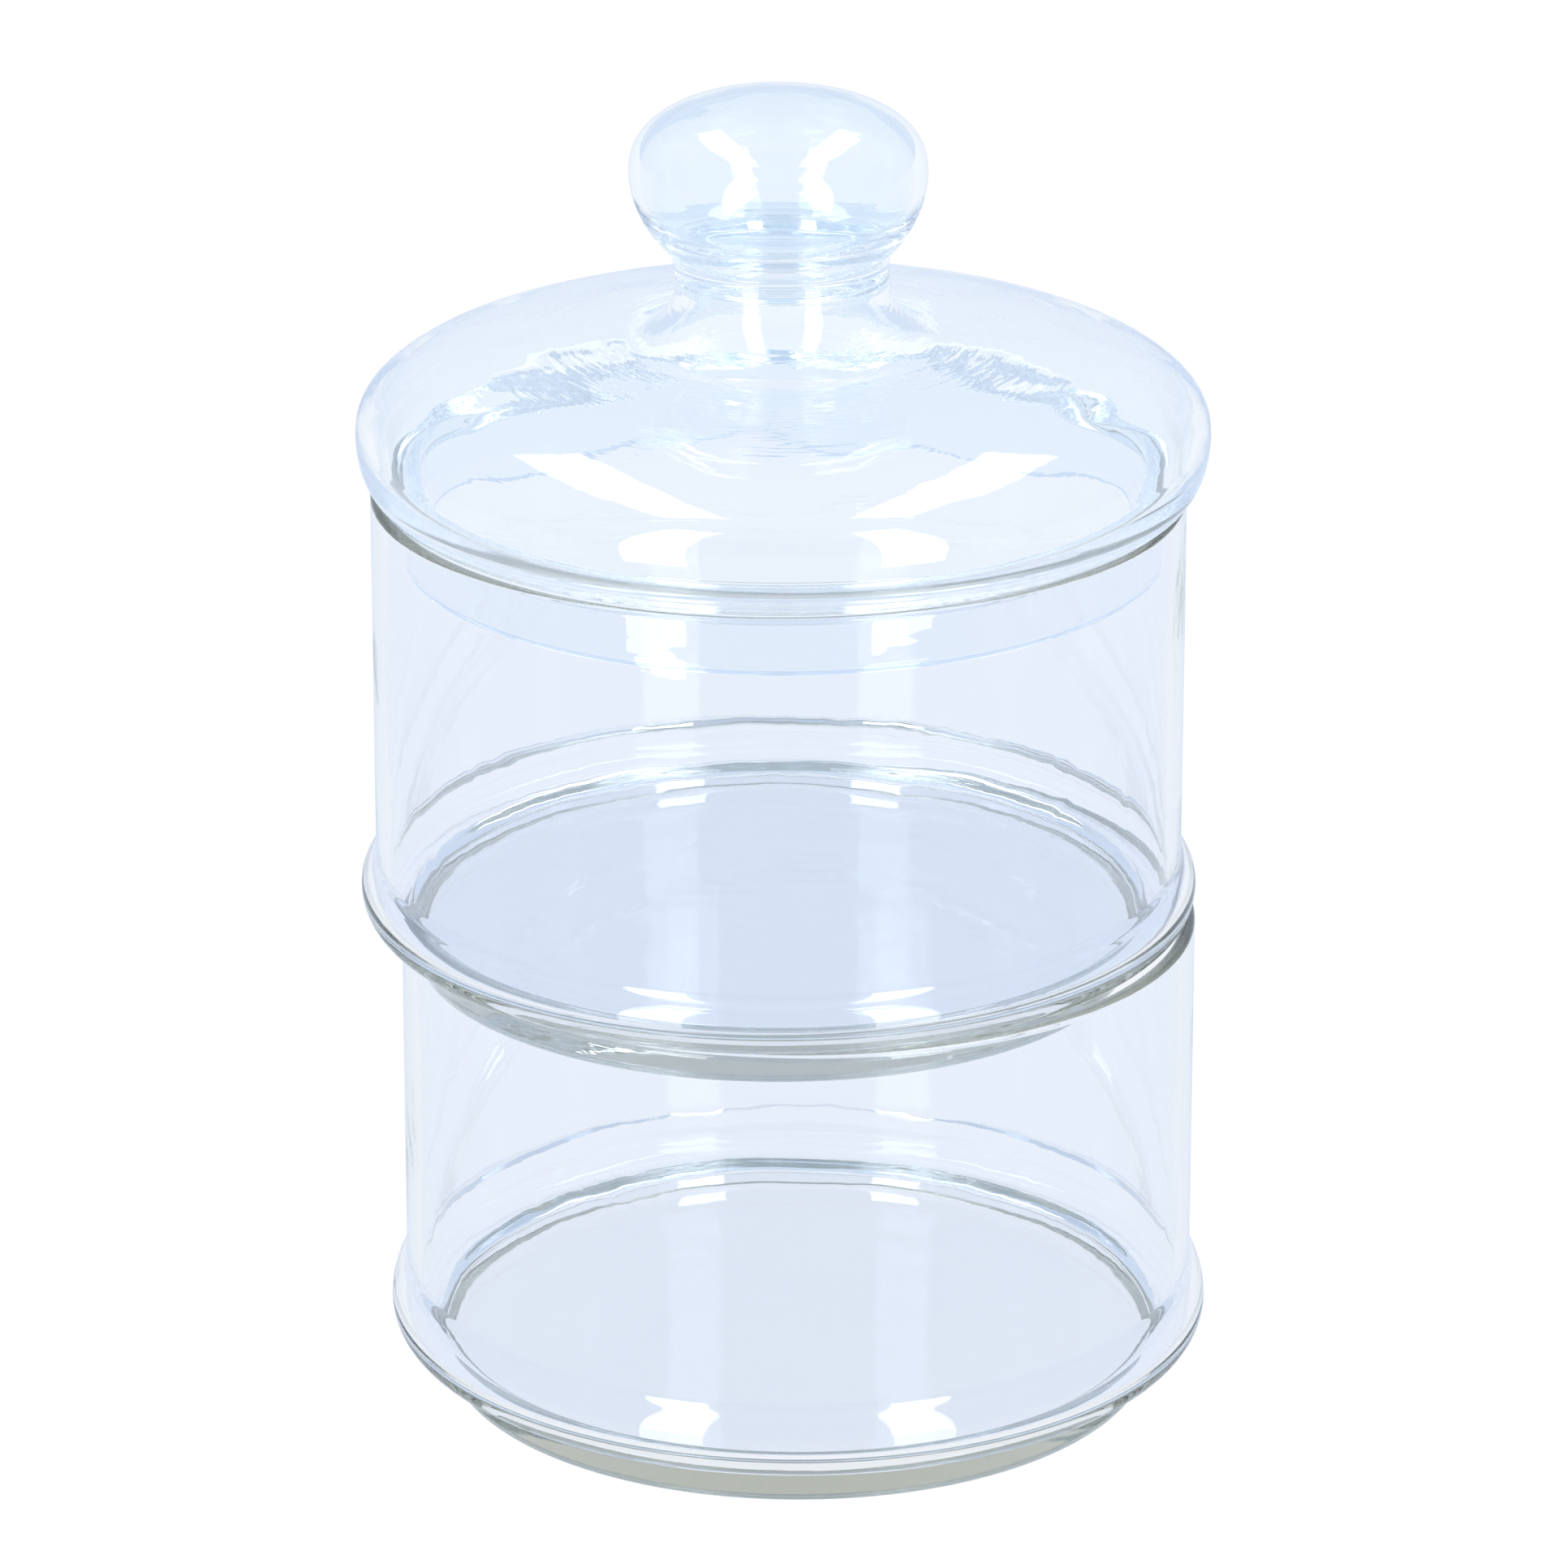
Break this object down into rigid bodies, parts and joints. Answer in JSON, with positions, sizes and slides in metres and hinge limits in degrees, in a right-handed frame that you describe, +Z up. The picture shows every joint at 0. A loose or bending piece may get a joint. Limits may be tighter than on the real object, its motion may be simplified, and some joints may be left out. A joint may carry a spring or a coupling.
{
  "type": "lidded glass canister",
  "caption": "Stacking clear-glass canister: same-shaped jars that nest foot into mouth, with a domed lid, a deep collar and a hollow glass knob.",
  "frame": {"origin": "centre of the underside of the lower jar's foot, where the canister stands", "axes": "+Z up along the lower jar's axis; +X to the right of the side that faces a viewer who looks along +Y. The upper jar and the lid stand a few millimetres towards -X in the play of their fits"},
  "size_m": [0.1927, 0.1906, 0.3026],
  "materials": {
    "jar_glass": "clear, fire polished, grey-green through its thick foot",
    "lid_glass": "clear, hand blown, faintly rippled"
  },
  "bodies": {
    "lower_body": {"lower_jar": "jar_glass"},
    "upper_body": {"upper_jar": "jar_glass"},
    "lid_body": {"lid": "lid_glass", "knob": "lid_glass"}
  },
  "joints": [
    {"name": "upper_jar_lift", "type": "slide", "parent": "lower_body", "child": "upper_body", "axis": [0, 0, 1], "range_m": [0, 0.18]},
    {"name": "lid_lift", "type": "slide", "parent": "upper_body", "child": "lid_body", "axis": [0, 0, 1], "range_m": [0, 0.18]}
  ]
}
